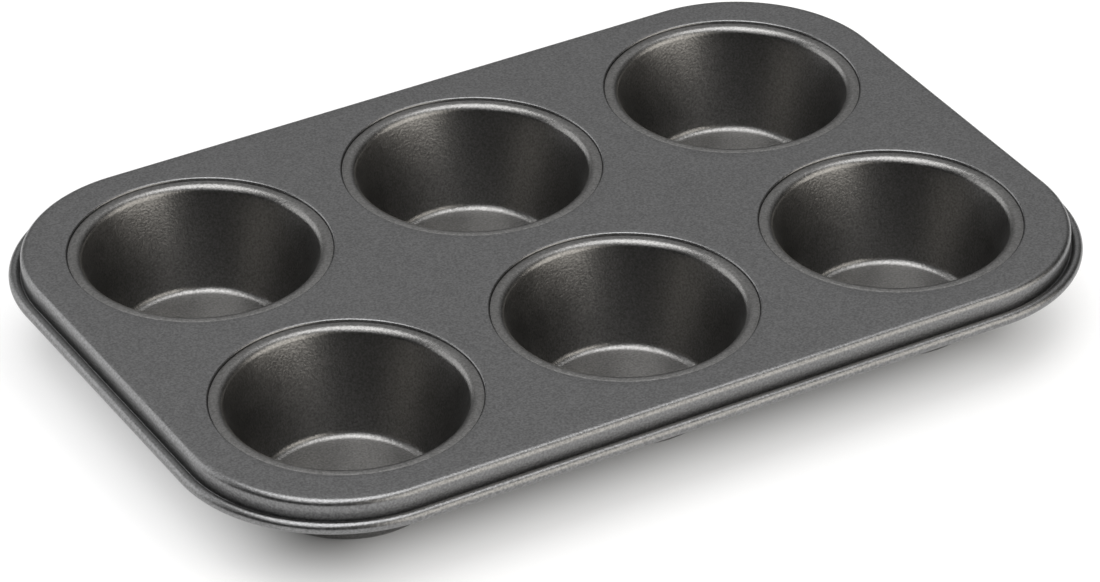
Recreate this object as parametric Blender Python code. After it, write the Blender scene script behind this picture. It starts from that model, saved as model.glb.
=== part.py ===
"""Muffin pan with six separate cups, each seamed into a hole of one deck sheet.

The deck's edge turns down, steps out and curls round a steel wire. Each hole
of the deck turns down into a collar, and the lip of its cup goes over it as a
skirt, passes under it and comes up behind it as a hook. Metres, +Z up. The
cups rest on z = 0.
"""

import math

import bmesh
import bpy

# The sheet that everything is pressed from, and the space left between pieces.
SHEET = 0.0005
GAP = 0.0003

# The deck: flat webs between its holes, and a flat border out to its apron.
WEB_X = 0.0094
WEB_Y = 0.0078
BORDER_X = 0.0100
BORDER_Y = 0.0092
CORNER_R = 0.0420
DECK_TOP = 0.0290

# The cups, with the column and row of each.
CUP_PLACES = {
    "cup_back_left": (-1, 1),
    "cup_back_middle": (0, 1),
    "cup_back_right": (1, 1),
    "cup_front_left": (-1, -1),
    "cup_front_middle": (0, -1),
    "cup_front_right": (1, -1),
}
FLOOR_R = 0.0202
FLOOR_FILLET = 0.0045
MOUTH_BEND = 0.0024
LIP_FLAT = 0.0011
LIP_BEND = 0.0006
LIP_DROP = 0.0003

# The seam: the deck's collar and the cup's hook round it.
COLLAR_R = 0.0358
COLLAR_BEND = 0.0009
COLLAR_DEPTH = 0.0030
HOOK_TOP_DEPTH = 0.0012

# The rim: edge bend, apron, crease, and the curl with the wire in it.
EDGE_BEND = 0.0018
CREASE_DEPTH = 0.0049
CREASE_BEND = 0.0002
WIRE_R = 0.0008
CURL_OUT = 0.0017
CURL_DEPTH = 0.00664
CURL_START = 95
CURL_END = -190

# The finishes: a dark baked coating on the deck and cups, and plain wire.
DECK_COLOUR = (0.190, 0.190, 0.190)
CUP_COLOUR = (0.190, 0.187, 0.183)
WIRE_COLOUR = (0.400, 0.400, 0.400)
COATING_ROUGHNESS = 0.38
WIRE_ROUGHNESS = 0.35

# How finely round shapes are divided.
ROUND_STEPS = 32
CORNER_STEPS = 8
CURL_STEPS = 8
WIRE_STEPS = 8

# Sizes that follow from the ones above.
HOLE_R = COLLAR_R + COLLAR_BEND
PITCH_X = 2 * HOLE_R + WEB_X
PITCH_Y = 2 * HOLE_R + WEB_Y
DECK_LENGTH = 2 * (PITCH_X + HOLE_R + BORDER_X)
DECK_WIDTH = PITCH_Y + 2 * (HOLE_R + BORDER_Y)
LIP_TOP = DECK_TOP - LIP_DROP
SKIRT_R = COLLAR_R - GAP
LEG_R = COLLAR_R + SHEET + GAP
MOUTH_BEND_R = SKIRT_R - LIP_BEND - LIP_FLAT
CURL_R = WIRE_R + GAP + SHEET


def clear_scene():
    for thing in list(bpy.data.objects):
        bpy.data.objects.remove(thing, do_unlink=True)


def steel(name, colour, roughness):
    """Steel, bare or under a thin metallic coating."""
    material = bpy.data.materials.new(name)
    material.use_nodes = True
    shader = material.node_tree.nodes["Principled BSDF"]
    shader.inputs["Base Color"].default_value = (*colour, 1)
    shader.inputs["Metallic"].default_value = 1
    shader.inputs["Roughness"].default_value = roughness
    return material


def cup_centre(place):
    """Where a cup's axis stands, from its column and row."""
    column, row = place
    return column * PITCH_X, row * PITCH_Y / 2


def arc(centre, radius, start, end, steps):
    """Points on an arc from one angle to another, in degrees."""
    points = []
    for step in range(steps + 1):
        angle = math.radians(start + (end - start) * step / steps)
        points.append((centre[0] + radius * math.cos(angle), centre[1] + radius * math.sin(angle)))
    return points


def add_object(name, mesh, material):
    thing = bpy.data.objects.new(name, mesh)
    bpy.context.scene.collection.objects.link(thing)
    if not mesh.materials:
        mesh.materials.append(material)
    return thing


def add_sheet_thickness(thing):
    """The modelled skin is the visible side, so the sheet's thickness goes behind it."""
    solidify = thing.modifiers.new("sheet", "SOLIDIFY")
    solidify.thickness = SHEET
    solidify.offset = -1
    solidify.use_even_offset = True
    solidify.use_quality_normals = True


def finish_mesh(bm, name):
    for face in bm.faces:
        face.smooth = True
    mesh = bpy.data.meshes.new(name)
    bm.to_mesh(mesh)
    bm.free()
    return mesh


# The deck

def rim_place(x, y, out):
    """The point that lies a distance outside the apron, straight out from (x, y)."""
    core_x = DECK_LENGTH / 2 - CORNER_R
    core_y = DECK_WIDTH / 2 - CORNER_R
    near_x = max(-core_x, min(core_x, x))
    near_y = max(-core_y, min(core_y, y))
    away = math.hypot(x - near_x, y - near_y)
    reach = (CORNER_R + out) / away
    return near_x + (x - near_x) * reach, near_y + (y - near_y) * reach


def hole_place(x, y, radius):
    """The point at a radius from the nearest cup's axis, straight out towards (x, y)."""
    centres = [cup_centre(place) for place in CUP_PLACES.values()]
    centre_x, centre_y = min(centres, key=lambda c: math.hypot(x - c[0], y - c[1]))
    away = math.hypot(x - centre_x, y - centre_y)
    return centre_x + (x - centre_x) * radius / away, centre_y + (y - centre_y) * radius / away


def closed_loop(bm, points, z):
    """A closed chain of edges through the points."""
    corners = [bm.verts.new((x, y, z)) for x, y in points]
    return [bm.edges.new((corners[i - 1], corners[i])) for i in range(len(corners))]


def rim_loop(bm, out, z):
    """The deck's outline, a distance outside the apron."""
    points = []
    for quarter in range(4):
        side_x = 1 if quarter in (0, 3) else -1
        side_y = 1 if quarter in (0, 1) else -1
        centre = (side_x * (DECK_LENGTH / 2 - CORNER_R), side_y * (DECK_WIDTH / 2 - CORNER_R))
        points += arc(centre, CORNER_R + out, 90 * quarter, 90 * quarter + 90, CORNER_STEPS)
    return closed_loop(bm, points, z)


def hole_loops(bm, radius, z):
    edges = []
    for place in CUP_PLACES.values():
        circle = arc(cup_centre(place), radius, 0, 360, ROUND_STEPS)
        edges += closed_loop(bm, circle[:-1], z)
    return edges


def draw_along(bm, edges, section, place):
    """Extrudes edges through each (distance, z) of a section; place turns a distance into x, y."""
    for distance, z in section:
        made = bmesh.ops.extrude_edge_only(bm, edges=edges)["geom"]
        for vertex in made:
            if isinstance(vertex, bmesh.types.BMVert):
                vertex.co = (*place(vertex.co.x, vertex.co.y, distance), z)
        edges = [e for e in made if isinstance(e, bmesh.types.BMEdge) and e.is_boundary]
    return edges


def rim_section():
    """The curled rim from the flat deck outwards: bend, apron, crease, and the curl round the wire."""
    bend = arc((-EDGE_BEND, DECK_TOP - EDGE_BEND), EDGE_BEND, 90, 0, 2)
    crease_centre = (CREASE_BEND, DECK_TOP - CREASE_DEPTH + CREASE_BEND)
    crease = arc(crease_centre, CREASE_BEND, 180, 270, 1)
    curl_centre = (CURL_OUT, DECK_TOP - CURL_DEPTH)
    curl = arc(curl_centre, CURL_R, CURL_START, CURL_END, CURL_STEPS)
    return bend[1:] + crease + curl


def collar_section():
    """The turned-down edge of a cup's hole."""
    bend_centre = (HOLE_R, DECK_TOP - COLLAR_BEND)
    bend = arc(bend_centre, COLLAR_BEND, 90, 180, 2)
    return bend[1:] + [(COLLAR_R, DECK_TOP - COLLAR_DEPTH)]


def build_deck(material):
    bm = bmesh.new()
    outline = rim_loop(bm, -EDGE_BEND, DECK_TOP)
    holes = hole_loops(bm, HOLE_R, DECK_TOP)
    bmesh.ops.triangle_fill(bm, use_beauty=True, edges=outline + holes, normal=(0, 0, 1))
    draw_along(bm, outline, rim_section(), rim_place)
    draw_along(bm, holes, collar_section(), hole_place)
    bmesh.ops.recalc_face_normals(bm, faces=bm.faces)
    if max(bm.faces, key=lambda face: face.calc_area()).normal.z < 0:
        bmesh.ops.reverse_faces(bm, faces=bm.faces)
    deck = add_object("pan_deck", finish_mesh(bm, "pan_deck"), material)
    add_sheet_thickness(deck)


def build_rim_wire(material):
    """The steel wire in the curl, bent to the rim's shape."""
    bm = bmesh.new()
    centre = (CURL_OUT, DECK_TOP - CURL_DEPTH)
    section = arc(centre, WIRE_R, 0, 360, WIRE_STEPS)
    start = rim_loop(bm, *section[0])
    draw_along(bm, start, section[1:], rim_place)
    bmesh.ops.remove_doubles(bm, verts=bm.verts, dist=GAP / 10)
    bmesh.ops.recalc_face_normals(bm, faces=bm.faces)
    add_object("rim_wire", finish_mesh(bm, "rim_wire"), material)


# The cups

def wall_normal():
    """The angle of the wall's outward normal, from the tangent of the floor fillet and the mouth bend."""
    across = MOUTH_BEND_R - FLOOR_R
    up = LIP_TOP - MOUTH_BEND - SHEET - FLOOR_FILLET
    spread = (FLOOR_FILLET + MOUTH_BEND) / math.hypot(across, up)
    return math.degrees(math.atan2(up, across) - math.acos(spread))


def cup_section():
    """A cup's inner skin from the floor's centre up the wall and over the lip, then round the collar."""
    tilt = wall_normal()
    fillet = arc((FLOOR_R, SHEET + FLOOR_FILLET), FLOOR_FILLET, -90, tilt, 3)
    mouth = arc((MOUTH_BEND_R, LIP_TOP - MOUTH_BEND), MOUTH_BEND, 180 + tilt, 90, 2)
    lip = arc((SKIRT_R - LIP_BEND, LIP_TOP - LIP_BEND), LIP_BEND, 90, 0, 1)
    hook_floor = DECK_TOP - COLLAR_DEPTH - GAP
    hook = [(SKIRT_R, hook_floor), (LEG_R, hook_floor), (LEG_R, DECK_TOP - HOOK_TOP_DEPTH)]
    return [(0, SHEET)] + fillet + mouth + lip + hook


def build_cup_mesh():
    """The section of a cup, which a Screw modifier turns round the cup's axis."""
    bm = bmesh.new()
    chain = [bm.verts.new((r, 0, z)) for r, z in cup_section()]
    for first, second in zip(chain, chain[1:]):
        bm.edges.new((first, second))
    return finish_mesh(bm, "cup")


def add_turning(thing):
    screw = thing.modifiers.new("turned", "SCREW")
    screw.axis = "Z"
    screw.angle = math.radians(360)
    screw.steps = ROUND_STEPS
    screw.render_steps = ROUND_STEPS
    screw.use_merge_vertices = True
    screw.merge_threshold = 0.00001
    screw.use_smooth_shade = True


def build_cups(material):
    mesh = build_cup_mesh()
    for name, place in CUP_PLACES.items():
        cup = add_object(name, mesh, material)
        cup.location = (*cup_centre(place), 0)
        add_turning(cup)
        add_sheet_thickness(cup)


def main():
    clear_scene()
    build_deck(steel("deck_steel", DECK_COLOUR, COATING_ROUGHNESS))
    build_rim_wire(steel("wire_steel", WIRE_COLOUR, WIRE_ROUGHNESS))
    build_cups(steel("cup_steel", CUP_COLOUR, COATING_ROUGHNESS))


main()
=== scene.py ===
# %% [markdown]
# # A muffin pan with seamed cups
#
# The pan is a flat sheet of steel, the deck, with six round holes. Each cup is drawn from a sheet of
# its own and clinched into its hole, so a thin dark groove runs round every mouth. The deck's edge
# bends down, steps out and curls round a wire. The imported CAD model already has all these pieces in
# place, but with few faces. This script keeps their places and draws the same shapes with finer
# bends, then gives them the dark baked coating of a real pan.

import math

import bmesh
import bpy
import numpy as np
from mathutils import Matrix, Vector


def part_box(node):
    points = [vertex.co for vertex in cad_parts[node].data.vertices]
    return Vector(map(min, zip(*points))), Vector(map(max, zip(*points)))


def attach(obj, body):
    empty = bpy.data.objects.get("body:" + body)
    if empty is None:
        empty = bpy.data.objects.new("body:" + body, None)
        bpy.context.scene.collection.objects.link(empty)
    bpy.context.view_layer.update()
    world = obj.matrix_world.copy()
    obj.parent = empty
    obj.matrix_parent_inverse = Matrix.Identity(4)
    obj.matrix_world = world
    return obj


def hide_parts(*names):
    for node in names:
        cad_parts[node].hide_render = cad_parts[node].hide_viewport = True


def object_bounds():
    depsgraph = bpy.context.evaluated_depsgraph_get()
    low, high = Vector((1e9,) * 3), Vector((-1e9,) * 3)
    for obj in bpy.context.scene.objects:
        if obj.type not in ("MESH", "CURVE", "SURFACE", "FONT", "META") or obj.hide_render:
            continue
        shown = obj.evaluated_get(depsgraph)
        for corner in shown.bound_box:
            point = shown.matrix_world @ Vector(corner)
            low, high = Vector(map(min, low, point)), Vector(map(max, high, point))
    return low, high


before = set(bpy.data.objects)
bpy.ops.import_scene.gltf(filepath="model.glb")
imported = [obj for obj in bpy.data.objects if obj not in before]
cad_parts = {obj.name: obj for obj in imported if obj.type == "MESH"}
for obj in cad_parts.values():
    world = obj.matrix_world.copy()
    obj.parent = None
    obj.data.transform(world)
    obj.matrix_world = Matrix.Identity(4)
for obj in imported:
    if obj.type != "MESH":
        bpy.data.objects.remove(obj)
start_low, start_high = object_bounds()
print("nodes:", sorted(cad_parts))
print("size in mm:", [round(1000 * (high - low), 1) for low, high in zip(start_low, start_high)])

# %% [markdown]
# ## Places
#
# A box of the frame says where each piece is. The cups' axes are the middles of their boxes, and the
# deck's top is the highest plane. What a box can't tell, such as the radius of a bend, is a named
# value in metres. Most of these are the CAD model's own. The cup's mouth, lip and groove, the corner
# of its floor, the deck's bend at a hole, the crease and both ends of the curl are drawn closer to a
# real pan here. They lie less than a millimetre away from the CAD's, and inside the same box.

# %% Places read from the frame
CUPS = ["cup_back_left", "cup_back_middle", "cup_back_right",
        "cup_front_left", "cup_front_middle", "cup_front_right"]


def middle_of(node):
    """The middle of a node's box, seen from above."""
    low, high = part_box(node)
    return (low[0] + high[0]) / 2, (low[1] + high[1]) / 2


cup_middles = {cup: middle_of(cup) for cup in CUPS}
deck_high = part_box("pan_deck")[1]
deck_top = deck_high[2]
column_pitch = cup_middles["cup_back_right"][0] - cup_middles["cup_back_middle"][0]
row_pitch = cup_middles["cup_back_middle"][1] - cup_middles["cup_front_middle"][1]
print("deck top:", round(1000 * deck_top, 2), "mm")
print("cup pitch:", round(1000 * column_pitch, 2), "by", round(1000 * row_pitch, 2), "mm")

# %% [markdown]
# ## The camera
#
# The picture looks down on the pan at about 33 degrees, past its front left corner, with a long lens
# from well back, so that the far side is hardly smaller than the near one. A long lens needs its
# place and turn to a fraction of a degree, and these come from fitting the pan's outline and mouths.

# %% Camera
CAMERA_PLACE = (-0.6565, -1.1409, 0.8617)
CAMERA_TURN = (57.123, 0.279, -30.128)
CAMERA_LENS = 191.4

camera_data = bpy.data.cameras.new("camera")
camera_data.sensor_width = 36
camera_data.lens = CAMERA_LENS
camera_data.clip_start = 0.05
camera_data.clip_end = 60
camera = bpy.data.objects.new("camera", camera_data)
camera.location = CAMERA_PLACE
camera.rotation_euler = [math.radians(angle) for angle in CAMERA_TURN]
bpy.context.scene.collection.objects.link(camera)
bpy.context.scene.camera = camera
print("camera", round(math.dist(CAMERA_PLACE, (0, 0, deck_top)), 2), "m from the deck's middle")

# %% [markdown]
# ## Grids and sections
#
# Every piece of this pan is made of strips that run round a circle or round the deck. So a shape
# starts as a section, a row of points that says how far out and how high the surface lies. Carried
# along a path, the section makes a grid of points, and neighbouring points of the grid make the
# faces. By hand this would be done with Spin, or with a curve and its bevel. Worked out with arrays,
# every radius stays a named value. A Solidify modifier then gives the sheet its thickness.

# %% Arcs and rows of points
def arc(centre, radius, start, end, steps):
    """Points at one radius from a centre, at equal angles from start to end, in degrees."""
    angles = np.radians(np.linspace(start, end, steps + 1))
    return np.stack([centre[0] + radius * np.cos(angles), centre[1] + radius * np.sin(angles)], axis=1)


def straight(start, end, steps):
    """Points at equal steps on a straight line between two points, without its ends."""
    share = np.linspace(0, 1, steps + 1)[1:-1, None]
    return np.asarray(start) * (1 - share) + np.asarray(end) * share


print("a quarter circle in 8 steps has", len(arc((0, 0), 1, 0, 90, 8)), "points")

# %% Faces of a grid
def grid_faces(rows, columns):
    """Quads between neighbours of a closed grid, whose last column joins its first."""
    row = np.arange(rows - 1)[:, None]
    column = np.arange(columns)[None, :]
    beside = (column + 1) % columns
    corners = [row * columns + column, (row + 1) * columns + column,
               (row + 1) * columns + beside, row * columns + beside]
    return np.stack([np.broadcast_to(c, corners[0].shape) for c in corners], axis=-1).reshape(-1, 4)


print("a closed grid of 3 by 4 points has", len(grid_faces(3, 4)), "faces")

# %% A mesh from one or more grids
MERGE = 0.000002


def surface(name, grids):
    """One smooth mesh from closed grids of shape (rows, columns, 3), merged where their points meet."""
    points = []
    faces = []
    start = 0
    for grid in grids:
        rows, columns = grid.shape[:2]
        points.append(grid.reshape(-1, 3))
        faces.append(grid_faces(rows, columns) + start)
        start += rows * columns
    mesh = bpy.data.meshes.new(name)
    mesh.from_pydata(np.concatenate(points).tolist(), [], np.concatenate(faces).tolist())
    merged = bmesh.new()
    merged.from_mesh(mesh)
    bmesh.ops.remove_doubles(merged, verts=merged.verts, dist=MERGE)
    merged.to_mesh(mesh)
    merged.free()
    mesh.shade_smooth()
    piece = bpy.data.objects.new(name, mesh)
    bpy.context.scene.collection.objects.link(piece)
    return piece


print("points closer than", round(1e6 * MERGE, 1), "micrometres are merged")

# %% The sheet's thickness
SHEET = 0.0005


def give_thickness(piece):
    """The drawn skin is the side that shows, so the sheet's thickness goes behind it."""
    wall = piece.modifiers.new("sheet", "SOLIDIFY")
    wall.thickness = SHEET
    wall.offset = -1
    wall.use_even_offset = True
    wall.use_quality_normals = True


print("sheet:", 1000 * SHEET, "mm")

# %% [markdown]
# ## The deck's outline
#
# The deck is a rectangle with large round corners. Its apron, the upright strip below the edge bend,
# stands inside the box by as much as the curl reaches out, which gives the outline's size. Two
# questions have to be answered about that outline: how far a ray from a cup's axis runs before it
# meets the outline, which shapes the flat part, and which way is straight out at a point, which
# carries the rim's section round the deck.

# %% Sizes of the outline
CLEARANCE = 0.0003
CORNER_R = 0.0420
EDGE_BEND = 0.0018
WIRE_R = 0.0008
CURL_R = WIRE_R + CLEARANCE + SHEET
CURL_OUT = 0.0017

apron_x = deck_high[0] - CURL_OUT - CURL_R
apron_y = deck_high[1] - CURL_OUT - CURL_R
flat_x = apron_x - EDGE_BEND
flat_y = apron_y - EDGE_BEND
flat_corner = CORNER_R - EDGE_BEND
print("apron:", round(2000 * apron_x, 1), "by", round(2000 * apron_y, 1), "mm")
print("flat deck:", round(2000 * flat_x, 1), "by", round(2000 * flat_y, 1), "mm")

# %% How far a ray runs to the outline
SMALLEST_STEP = 1e-9


def reach_of_box(start, rays, low, high):
    """Distance along each ray to a box: room ahead over the ray's step, the smaller of the two axes."""
    steps = np.where(np.abs(rays) < SMALLEST_STEP, SMALLEST_STEP, rays)
    room = np.where(steps > 0, high, low) - start
    return (room / steps).min(axis=1)


def reach_of_outline(start, rays):
    """Distance along each ray to the flat deck's edge, on a straight side or on a corner's circle.

    For a circle it is half the chord, the root of the radius squared less the squared distance at
    which the ray passes the centre, less how far the start lies along the ray from the centre.
    """
    flat = np.array([flat_x, flat_y])
    reach = reach_of_box(start, rays, -flat, flat)
    hit = start + rays * reach[:, None]
    core = flat - flat_corner
    away = start - np.sign(hit) * core
    along_ray = (away * rays).sum(axis=1)
    inside = along_ray ** 2 - (away ** 2).sum(axis=1) + flat_corner ** 2
    round_reach = np.sqrt(np.maximum(inside, 0)) - along_ray
    return np.where((np.abs(hit) > core).all(axis=1), round_reach, reach)


to_the_right = reach_of_outline(np.zeros(2), np.array([[1.0, 0.0]]))[0]
print("from the middle to the right edge:", round(1000 * to_the_right, 1), "mm")

# %% Straight out from the outline
def nearest_in_core(points):
    """The nearest points of the outline's core, the rectangle between the centres of its corners."""
    core = np.array([apron_x, apron_y]) - CORNER_R
    return np.clip(points, -core, core)


def straight_out(points):
    """The unit directions from the core to the points: what lies between them, over its length."""
    away = points - nearest_in_core(points)
    return away / np.linalg.norm(away, axis=1, keepdims=True)


out_at_corner = straight_out(np.array([[apron_x, apron_y]]))[0]
print("straight out at the back right corner:", np.round(out_at_corner, 2))

# %% [markdown]
# ## The deck
#
# The holes could be cut from one plate with Boolean modifiers, which leaves long thin faces beside
# them. A flat sheet with six holes has no single grid either. But each cup can have its own cell of
# the deck, out to the middle of the web between two cups, or out to the outline. A cell is then a
# ring, from its hole's circle to the cell's edge, and rings are grids. The columns are rays from the
# cup's axis. Neighbours must have the same points on the edge that they share, so the rays are
# counted out equally between the cell's corners, where that edge begins and ends.

# %% The edges of a cup's cell
def cell_box(column, row):
    """A cell's lowest and highest corners, open towards the outline."""
    low = [(column - 0.5) * column_pitch, 0]
    high = [(column + 0.5) * column_pitch, 0]
    if column < 0:
        low[0] = -np.inf
    if column > 0:
        high[0] = np.inf
    if row < 0:
        low[1] = -np.inf
    else:
        high[1] = np.inf
    return np.array(low), np.array(high)


def cell_corners(column, row):
    """The points where a cell's edge turns from one web to the next, or to the outline."""
    low, high = cell_box(column, row)
    xs = np.clip([low[0], high[0]], -flat_x, flat_x)
    corners = [(x, 0) for x in xs] + [(x, row * flat_y) for x in xs if abs(x) < flat_x]
    return np.array(corners)


print("the front middle cell has", len(cell_corners(0, -1)), "corners")

# %% The rays of a cup's cell
RAYS_PER_SIDE = 48
WIDE_SIDE = 120


def cell_rays(column, row):
    """Unit rays from a cup's axis, anticlockwise, at equal angles between the corners of its cell.

    A side that is wider than WIDE_SIDE, in degrees, has twice as many rays as the others.
    """
    middle = np.array([column * column_pitch, row * row_pitch / 2])
    away = cell_corners(column, row) - middle
    angles = np.sort(np.arctan2(away[:, 1], away[:, 0]))
    widths = np.diff(np.append(angles, angles[0] + 2 * np.pi))
    counts = np.where(widths > np.radians(WIDE_SIDE), 2 * RAYS_PER_SIDE, RAYS_PER_SIDE)
    sides = zip(angles, widths, counts)
    spans = [angle + width * np.arange(count) / count for angle, width, count in sides]
    angles = np.concatenate(spans)
    return middle, np.stack([np.cos(angles), np.sin(angles)], axis=1)


for column, row in [(0, 1), (1, 1)]:
    print("cell", (column, row), "has", len(cell_rays(column, row)[1]), "rays")

# %% [markdown]
# ## The holes' collars
#
# At each hole the deck turns down into a collar, which the cup's lip will grip. A Bevel modifier
# could round the edge of a hole. Here the bend is an arc in a section, so that its radius is a named
# value, and the collar's rows simply go in front of the rows of the flat cell.

# %% The section of a collar
COLLAR_R = 0.0355
COLLAR_BEND = 0.0005
COLLAR_DEPTH = 0.0030
SMALL_BEND_STEPS = 6
COLLAR_STEPS = 2

hole_r = COLLAR_R + COLLAR_BEND


def collar_section():
    """The turned-down edge of a hole as (radius, height), from its lower end up and over the bend."""
    bend = arc((hole_r, deck_top - COLLAR_BEND), COLLAR_BEND, 180, 90, SMALL_BEND_STEPS)
    lower_end = (COLLAR_R, deck_top - COLLAR_DEPTH)
    return np.concatenate([[lower_end], straight(lower_end, bend[0], COLLAR_STEPS), bend])


print("hole in the flat deck:", round(2000 * hole_r, 1), "mm across")

# %% The ring of a cell
FLAT_ROWS = 6


def cell_grid(column, row):
    """A cell's points: its collar turned about the cup's axis, then straight along the rays to its edge."""
    middle, rays = cell_rays(column, row)
    to_webs = reach_of_box(middle, rays, *cell_box(column, row))
    reach = np.minimum(reach_of_outline(middle, rays), to_webs)
    section = collar_section()
    share = np.linspace(0, 1, FLAT_ROWS + 1)[1:, None]
    collar_radius = np.repeat(section[:, :1], len(rays), axis=1)
    radius = np.concatenate([collar_radius, hole_r + share * (reach - hole_r)])
    height = np.concatenate([section[:, 1], np.full(FLAT_ROWS, deck_top)])
    flat = middle + radius[:, :, None] * rays
    return np.dstack([flat, np.repeat(height[:, None], len(rays), axis=1)])


cells = [cell_grid(column, row) for row in (-1, 1) for column in (-1, 0, 1)]
print("a cell has", cells[0].shape[0], "rows and", cells[0].shape[1], "columns")

# %% [markdown]
# ## The rim
#
# The rim starts where the cells end. Its section runs from the flat deck over the edge bend, down the
# apron, out along the crease and round the wire, and stays open on the inside, as a curled edge does.
# A curve with this section as its bevel object would look the same from afar. But carried round the
# very points in which the cells meet the outline, the section joins the flat part without a step.

# %% The rim's section
CURL_DEPTH = 0.00664
CURL_START = 150
CURL_END = -165
EDGE_BEND_STEPS = 8
APRON_STEPS = 4
CURL_STEPS = 32

curl_centre = (CURL_OUT, deck_top - CURL_DEPTH)


def rim_section():
    """The rim as (distance outside the apron, height): bend, apron, half-round crease and curl."""
    bend = arc((-EDGE_BEND, deck_top - EDGE_BEND), EDGE_BEND, 90, 0, EDGE_BEND_STEPS)
    curl = arc(curl_centre, CURL_R, CURL_START, CURL_END, CURL_STEPS)
    crease_r = curl[0, 0] / 2
    crease = arc((crease_r, curl[0, 1]), crease_r, 180, 330, SMALL_BEND_STEPS)
    return np.concatenate([bend, straight(bend[-1], crease[0], APRON_STEPS), crease, curl])


print("the rim's section has", len(rim_section()), "points")

# %% A section carried round the deck
def outline_points():
    """The points in which the cells meet the outline, anticlockwise round the deck."""
    edge = np.concatenate([cell[-1, :, :2] for cell in cells])
    from_core = np.linalg.norm(edge - nearest_in_core(edge), axis=1)
    edge = edge[np.abs(from_core - flat_corner) < MERGE]
    edge = edge[np.argsort(np.arctan2(edge[:, 1], edge[:, 0]))]
    apart = np.linalg.norm(edge - np.roll(edge, 1, axis=0), axis=1)
    return edge[apart > MERGE]


def carried_round(section):
    """A section carried round the deck: each point of it keeps one distance out from the core."""
    points = outline_points()
    away = CORNER_R + section[:, :1, None]
    flat = nearest_in_core(points) + away * straight_out(points)
    return np.dstack([flat, np.repeat(section[:, 1:], len(points), axis=1)])


print("the outline has", len(outline_points()), "points")

# %% [markdown]
# ## The deck as one piece
#
# On the real pan the flat part, the collars and the rim are one sheet. They could stay seven meshes,
# but light would show a line where they meet. The six cells and the rim have the same points there,
# so merging the close points makes one smooth sheet, which takes the place of the CAD's deck.

# %% Deck
deck = surface("deck_sheet", cells + [carried_round(rim_section())])
give_thickness(deck)
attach(deck, "root")
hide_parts("pan_deck")
print("deck:", len(deck.data.polygons), "faces before its thickness")

# %% [markdown]
# ## The wire in the rim
#
# A steel wire stiffens the curled edge. It hardly shows, except from below through the curl's open
# side. A curve with a round bevel would do. It is a circle carried round the deck here, because the
# rim's function does that already and keeps the wire in the middle of the curl.

# %% Wire
WIRE_STEPS = 16

wire = surface("wire_in_rim", [carried_round(arc(curl_centre, WIRE_R, 360, 0, WIRE_STEPS))])
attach(wire, "root")
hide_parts("rim_wire")
print("wire:", len(wire.data.polygons), "faces")

# %% [markdown]
# ## The cups
#
# A cup is a turned shape, which a Screw modifier could make from its section. Turned as an array it
# needs no modifier, and its points stay where they are written. The section starts at the middle of
# the floor, rounds the fillet, climbs the tapered wall and rolls over the mouth bend. The straight
# wall touches the fillet and the mouth bend, so its slope follows from the two circles.

# %% The floor, the wall and the mouth
FLOOR_R = 0.0217
FLOOR_FILLET = 0.0024
MOUTH_BEND = 0.0023
MOUTH_BEND_R = 0.0337
LIP_DROP = 0.00045
FLOOR_STEPS = 6
WALL_STEPS = 8
LARGE_BEND_STEPS = 12

lip_top = deck_top - LIP_DROP


def wall_angle():
    """The angle of the wall's normal, in degrees.

    It is the angle of the line between both circles' centres, less the angle whose cosine is the
    sum of their radii over the length of that line.
    """
    across = MOUTH_BEND_R - FLOOR_R
    up = lip_top - MOUTH_BEND - SHEET - FLOOR_FILLET
    share = (FLOOR_FILLET + MOUTH_BEND) / math.hypot(across, up)
    return math.degrees(math.atan2(up, across) - math.acos(share))


def bowl_section():
    """The inner skin as (radius, height), from the floor's middle up the wall and over the mouth bend."""
    normal = wall_angle()
    middle = (0, SHEET)
    fillet = arc((FLOOR_R, SHEET + FLOOR_FILLET), FLOOR_FILLET, -90, normal, LARGE_BEND_STEPS)
    mouth = arc((MOUTH_BEND_R, lip_top - MOUTH_BEND), MOUTH_BEND, 180 + normal, 90, LARGE_BEND_STEPS)
    floor_line = straight(middle, fillet[0], FLOOR_STEPS)
    wall_line = straight(fillet[-1], mouth[0], WALL_STEPS)
    return np.concatenate([[middle], floor_line, fillet, wall_line, mouth])


print("a cup's wall leans", round(-wall_angle(), 1), "degrees from upright")

# %% [markdown]
# ## The clinched seam
#
# Outside the mouth bend the lip is slightly crowned: flat at first, it leans more and more and then
# bends down into the groove as a skirt. Below the deck the sheet passes under the collar and comes up
# behind it as a hook, which holds the cup. A ring of its own could make the lip, but it is the cup's
# own edge on a real pan, so the same section goes on. The small bend at the end of the lip must reach
# the skirt, so its radius follows from the room that the crown leaves. The gap that shows is drawn
# tight, as a pressed seam looks, while the hidden hook keeps the CAD's clearance.

# %% The lip and the hook
LIP_CROWN = 0.0082
LIP_SLOPE = 11
SEAM_SHOWN = 0.00008
SEAM_CORNER = 0.0003
HOOK_TOP_DEPTH = 0.0012
CROWN_STEPS = 5
HOOK_CORNER_STEPS = 3
SKIRT_STEPS = 2

skirt_r = COLLAR_R - SEAM_SHOWN
leg_r = COLLAR_R + SHEET + CLEARANCE


def lip_section():
    """The crown, which leans to its slope, and the bend down to the skirt.

    The bend's radius is the room between the crown's end and the skirt, over one less the slope's sine.
    """
    crown = arc((MOUTH_BEND_R, lip_top - LIP_CROWN), LIP_CROWN, 90, 90 - LIP_SLOPE, CROWN_STEPS)
    slope = math.radians(LIP_SLOPE)
    bend_r = (skirt_r - crown[-1, 0]) / (1 - math.sin(slope))
    bend_centre = crown[-1] - bend_r * np.array([math.sin(slope), math.cos(slope)])
    return np.concatenate([crown, arc(bend_centre, bend_r, 90 - LIP_SLOPE, 0, SMALL_BEND_STEPS)])


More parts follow.
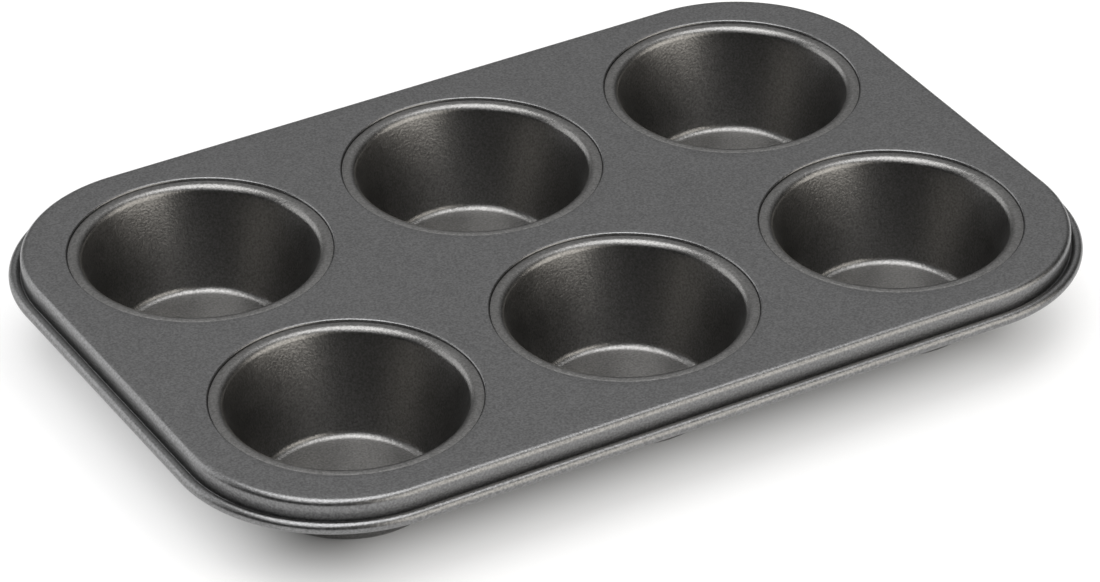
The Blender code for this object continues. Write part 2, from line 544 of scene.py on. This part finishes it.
def hook_section():
    """The hook: round a small corner under the collar's lower end, out, and up behind the collar."""
    collar_end = deck_top - COLLAR_DEPTH
    under = arc((skirt_r + SEAM_CORNER, collar_end), SEAM_CORNER, 180, 270, HOOK_CORNER_STEPS)
    behind = arc((leg_r - SEAM_CORNER, collar_end), SEAM_CORNER, 270, 360, HOOK_CORNER_STEPS)
    return np.concatenate([under, behind, [(leg_r, deck_top - HOOK_TOP_DEPTH)]])


def cup_section():
    """The cup's whole skin: bowl, lip, skirt and hook."""
    lip = lip_section()
    hook = hook_section()
    return np.concatenate([bowl_section(), lip, straight(lip[-1], hook[0], SKIRT_STEPS), hook])


print("a cup's section has", len(cup_section()), "points")

# %% [markdown]
# ## Six cups
#
# The cups are all alike and differ in their place only, so one section is turned about each of the six
# axes. Linked copies of one cup would do as well. But the grain of the coating follows each piece's
# own coordinates, so linked copies would have the same grain, and these have not.

# %% Turned cups
TURN_STEPS = 192


def turned(section, middle):
    """A section turned about an upright axis: radius times the cosine and sine of the turn, height kept."""
    turn = np.linspace(0, 2 * np.pi, TURN_STEPS, endpoint=False)
    x = middle[0] + section[:, :1] * np.cos(turn)
    y = middle[1] + section[:, :1] * np.sin(turn)
    return np.dstack([x, y, np.repeat(section[:, 1:], TURN_STEPS, axis=1)])


cup_pieces = []
for cup in CUPS:
    piece = surface("drawn_" + cup, [turned(cup_section(), cup_middles[cup])])
    give_thickness(piece)
    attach(piece, "root")
    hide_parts(cup)
    cup_pieces.append(piece)
print(len(cup_pieces), "cups of", len(cup_pieces[0].data.polygons), "faces each")

# %% [markdown]
# ## The coating
#
# The pan has a dark baked coating over steel. It behaves like a dark metal: it mirrors what is
# bright, softly, and hardly shows a colour of its own, which is why the walls inside the cups, which
# mirror one another, look nearly black. It isn't smooth. Fine grains tilt the surface here and there
# and make it sparkle where a highlight falls. An image of grain would need an unwrapped surface,
# while noise on the piece's own coordinates has no seam. A fine noise, with blots of about half a
# millimetre, gives the grain as a small bump and a small change of colour. A coarser one changes the
# roughness a little, so that broad highlights aren't quite even.

# %% Noise on a piece
NOISE_LOW = 0.3
NOISE_HIGH = 0.7
NOISE_DETAIL = 2


def noise(tree, place, size):
    """Noise on object coordinates whose blots are about as wide as size says, in metres."""
    node = tree.nodes.new("ShaderNodeTexNoise")
    node.inputs["Scale"].default_value = 1 / size
    node.inputs["Detail"].default_value = NOISE_DETAIL
    tree.links.new(place.outputs["Object"], node.inputs["Vector"])
    return node.outputs["Fac"]


def spread(tree, value, low, high):
    """Maps the middle range of noise, where most of it lies, in proportion to a range from low to high."""
    node = tree.nodes.new("ShaderNodeMapRange")
    node.inputs["From Min"].default_value = NOISE_LOW
    node.inputs["From Max"].default_value = NOISE_HIGH
    node.inputs["To Min"].default_value = low
    node.inputs["To Max"].default_value = high
    tree.links.new(value, node.inputs["Value"])
    return node.outputs["Result"]


print("noise counts from", NOISE_LOW, "to", NOISE_HIGH)

# %% The coating's nodes
GRAIN_SIZE = 0.00060
CLOUD_SIZE = 0.006
TINT_CHANGE = 0.25
ROUGHNESS_CHANGE = 0.02


def tinted(tree, grain, colour):
    """The colour made darker and lighter by one share of itself, mixed by the grain."""
    tint = tree.nodes.new("ShaderNodeMix")
    tint.data_type = "RGBA"
    tint.inputs["A"].default_value = (*[(1 - TINT_CHANGE) * part for part in colour], 1)
    tint.inputs["B"].default_value = (*[(1 + TINT_CHANGE) * part for part in colour], 1)
    tree.links.new(spread(tree, grain, 0, 1), tint.inputs["Factor"])
    return tint.outputs["Result"]


def coating(name, colour, roughness, grain_height):
    """A dark metallic coating with grain in its bump and colour, and clouds in its roughness."""
    material = bpy.data.materials.new(name)
    material.use_nodes = True
    tree = material.node_tree
    shader = tree.nodes["Principled BSDF"]
    shader.inputs["Metallic"].default_value = 1.0
    place = tree.nodes.new("ShaderNodeTexCoord")
    grain = noise(tree, place, GRAIN_SIZE)
    cloud = noise(tree, place, CLOUD_SIZE)
    rough = spread(tree, cloud, roughness - ROUGHNESS_CHANGE, roughness + ROUGHNESS_CHANGE)
    bump = tree.nodes.new("ShaderNodeBump")
    bump.inputs["Strength"].default_value = 1
    bump.inputs["Distance"].default_value = grain_height
    tree.links.new(grain, bump.inputs["Height"])
    tree.links.new(tinted(tree, grain, colour), shader.inputs["Base Color"])
    tree.links.new(rough, shader.inputs["Roughness"])
    tree.links.new(bump.outputs["Normal"], shader.inputs["Normal"])
    return material


print("grain:", 1000 * GRAIN_SIZE, "mm, clouds:", 1000 * CLOUD_SIZE, "mm")

# %% The three finishes
DECK_COLOUR = (0.205, 0.205, 0.206)
CUP_COLOUR = (0.215, 0.212, 0.208)
WIRE_COLOUR = (0.400, 0.400, 0.400)
COATING_ROUGHNESS = 0.33
WIRE_ROUGHNESS = 0.30
GRAIN_HEIGHT = 0.000060
WIRE_GRAIN_HEIGHT = GRAIN_HEIGHT / 4

deck_coating = coating("deck coating", DECK_COLOUR, COATING_ROUGHNESS, GRAIN_HEIGHT)
cup_coating = coating("cup coating", CUP_COLOUR, COATING_ROUGHNESS, GRAIN_HEIGHT)
wire_steel = coating("wire steel", WIRE_COLOUR, WIRE_ROUGHNESS, WIRE_GRAIN_HEIGHT)
deck.data.materials.append(deck_coating)
wire.data.materials.append(wire_steel)
for piece in cup_pieces:
    piece.data.materials.append(cup_coating)
print("finishes:", deck_coating.name, "and", cup_coating.name, "and", wire_steel.name)

# %% [markdown]
# ## What each kind of ray sees
#
# A smooth metal looks like the room around it, so the floor and the world answer three kinds of rays.
# The camera sees plain white. Mirrors and glass see a white floor and a dark room, with a soft grey
# field high up behind the pan, where the flat deck looks at this angle. All other rays get a little
# even light. The Light Path node tells the kinds apart.

# %% Node helpers
MIRROR_RAYS = ["Is Glossy Ray", "Is Transmission Ray"]


def rays_of(tree, kinds):
    """1 for rays of any of these kinds, else 0: the largest answer of Light Path."""
    rays = tree.nodes.new("ShaderNodeLightPath")
    most = rays.outputs[kinds[0]]
    for kind in kinds[1:]:
        larger = tree.nodes.new("ShaderNodeMath")
        larger.operation = "MAXIMUM"
        tree.links.new(most, larger.inputs[0])
        tree.links.new(rays.outputs[kind], larger.inputs[1])
        most = larger.outputs[0]
    return most


def vector_step(tree, operation, vector, constant=None):
    """A vector node with one operation on a vector, and on a constant one where it takes two."""
    node = tree.nodes.new("ShaderNodeVectorMath")
    node.operation = operation
    tree.links.new(vector, node.inputs[0])
    if constant is not None:
        node.inputs[1].default_value = constant
    return node


def smooth_step(tree, value, start, end, low, high):
    """A smooth change from low to high while the value goes from start to end."""
    step = tree.nodes.new("ShaderNodeMapRange")
    step.interpolation_type = "SMOOTHSTEP"
    step.inputs["From Min"].default_value = start
    step.inputs["From Max"].default_value = end
    step.inputs["To Min"].default_value = low
    step.inputs["To Max"].default_value = high
    tree.links.new(value, step.inputs["Value"])
    return step.outputs["Result"]


print("mirrors and glass:", MIRROR_RAYS)

# %% [markdown]
# ## The floor
#
# The floor is mid grey under the lamps, and a glow that only cameras, mirrors and glass can see lifts it to
# white. A white floor alone would do for the camera, but it would throw much light up at the pan. The glow
# fades out under the pan, so that the pan keeps its shadow: the lamps' real shadow shows there, and the
# fade adds painted shade that darkens the floor towards and under the pan. How far out a place lies comes
# from its coordinates: what is beyond a rectangle on each axis makes a vector, and its length is the
# distance.

# %% The floor's material
FLOOR_COLOUR = 0.42
FLOOR_GLOW = 0.62
GLOW_START = -0.035
GLOW_END = 0.002


def glow_with_painted_shade_under_pan(tree):
    """No glow well inside the pan's outline, the full glow just outside it, a smooth step between; the
    missing glow is painted shade under the pan.
    """
    place = tree.nodes.new("ShaderNodeTexCoord").outputs["Object"]
    one_quarter = vector_step(tree, "ABSOLUTE", place).outputs["Vector"]
    start = (apron_x + GLOW_START, apron_y + GLOW_START, 0)
    beyond = vector_step(tree, "SUBTRACT", one_quarter, start).outputs["Vector"]
    outside = vector_step(tree, "MAXIMUM", beyond, (0, 0, 0)).outputs["Vector"]
    distance = vector_step(tree, "LENGTH", outside).outputs["Value"]
    return smooth_step(tree, distance, 0, GLOW_END - GLOW_START, 0, FLOOR_GLOW)


def floor_material():
    """Matt grey that glows for cameras, mirrors and glass, outside the pan; the fading glow paints shade
    under it.
    """
    material = bpy.data.materials.new("studio floor")
    material.use_nodes = True
    tree = material.node_tree
    shader = tree.nodes["Principled BSDF"]
    shader.inputs["Base Color"].default_value = (FLOOR_COLOUR, FLOOR_COLOUR, FLOOR_COLOUR, 1)
    shader.inputs["Roughness"].default_value = 1
    shader.inputs["Specular IOR Level"].default_value = 0
    shader.inputs["Emission Color"].default_value = (1, 1, 1, 1)
    glow = tree.nodes.new("ShaderNodeMath")
    glow.operation = "MULTIPLY"
    tree.links.new(rays_of(tree, ["Is Camera Ray"] + MIRROR_RAYS), glow.inputs[0])
    # The glow fades under the pan: painted shade there, added to the lamps' real shadow.
    tree.links.new(glow_with_painted_shade_under_pan(tree), glow.inputs[1])
    tree.links.new(glow.outputs[0], shader.inputs["Emission Strength"])
    return material


print("the glow grows over", round(1000 * (GLOW_END - GLOW_START)), "mm, mostly under the pan")

# %% Floor
FLOOR_HALF = 8.0

square = [(-1, -1), (1, -1), (1, 1), (-1, 1)]
floor_corners = [(FLOOR_HALF * x, FLOOR_HALF * y, start_low[2]) for x, y in square]
floor_mesh = bpy.data.meshes.new("floor")
floor_mesh.from_pydata(floor_corners, [], [(0, 1, 2, 3)])
floor = bpy.data.objects.new("floor", floor_mesh)
bpy.context.scene.collection.objects.link(floor)
floor_mesh.materials.append(floor_material())
print("floor:", 2 * FLOOR_HALF, "m wide")

# %% [markdown]
# ## The world
#
# A picture of a studio could surround the pan, but one soft field in a dark room is a short formula.
# The more a mirrored ray points towards the middle of the field, the lighter the room is, in one
# smooth step. How much it points there is 1 at the middle and less all round, so a step that ends a
# little above 1 never quite reaches its lightest value.

# %% World
WORLD_LIGHT = 0.15
ROOM_MIDDLE = (0.3, 0.52, 0.8)
ROOM_START = 0.50
ROOM_END = 1.05
ROOM_DARK = 0.02
ROOM_LIGHT = 0.55


def room(tree):
    """The studio that the metal mirrors: dark all round, and soft grey high up behind the pan."""
    direction = tree.nodes.new("ShaderNodeTexCoord").outputs["Generated"]
    towards_middle = vector_step(tree, "DOT_PRODUCT", direction, ROOM_MIDDLE).outputs["Value"]
    return smooth_step(tree, towards_middle, ROOM_START, ROOM_END, ROOM_DARK, ROOM_LIGHT)


world = bpy.data.worlds.new("studio")
bpy.context.scene.world = world
world.use_nodes = True
world_tree = world.node_tree
backdrop = world_tree.nodes["Background"]
backdrop.inputs["Color"].default_value = (1, 1, 1, 1)
mirrored = world_tree.nodes.new("ShaderNodeMix")
mirrored.inputs["A"].default_value = WORLD_LIGHT
world_tree.links.new(rays_of(world_tree, MIRROR_RAYS), mirrored.inputs["Factor"])
world_tree.links.new(room(world_tree), mirrored.inputs["B"])
seen = world_tree.nodes.new("ShaderNodeMix")
seen.inputs["B"].default_value = 1
world_tree.links.new(rays_of(world_tree, ["Is Camera Ray"]), seen.inputs["Factor"])
world_tree.links.new(mirrored.outputs["Result"], seen.inputs["A"])
world_tree.links.new(seen.outputs["Result"], backdrop.inputs["Strength"])
print("world light:", WORLD_LIGHT, "and in mirrors", ROOM_DARK, "to", ROOM_LIGHT)

# %% [markdown]
# ## Lights
#
# Each light is a sun lamp with a wide disc, which lights everything evenly, like a large soft box
# far away. An area lamp would need a place and a size, and would light near cups more than far ones.
# The top light draws the bright lines on the bends and lights the cups' floors, and the front light,
# high at the front left, helps it there. A warmer one, low at the front right, draws a soft upright
# band on each cup's wall. The left light, low at the back left, lifts the walls that face it. Both
# low lights are very wide, because a narrow one would turn the deck white where it is mirrored.

# %% Lights
def soft_light(name, azimuth, elevation, width, strength, colour):
    """A wide sun lamp; azimuth is measured from the front, to the right, and elevation from the floor."""
    data = bpy.data.lights.new(name, "SUN")
    data.energy = strength
    data.angle = math.radians(width)
    data.color = colour
    lamp = bpy.data.objects.new(name, data)
    lamp.rotation_euler = (math.radians(90 - elevation), 0, math.radians(azimuth))
    bpy.context.scene.collection.objects.link(lamp)


WHITE = (1, 1, 1)
WARM = (1, 0.96, 0.89)
soft_light("top light", azimuth=150, elevation=86, width=50, strength=1.8, colour=WHITE)
soft_light("front light", azimuth=-60, elevation=62, width=40, strength=0.6, colour=WHITE)
soft_light("right light", azimuth=32, elevation=24, width=60, strength=1.7, colour=WARM)
soft_light("left light", azimuth=-140, elevation=20, width=54, strength=1.0, colour=WHITE)

# %% [markdown]
# ## Finish
#
# The picture's colours are shown as they are, without a film look.

# %% Finish
bpy.context.scene.view_settings.view_transform = "Standard"
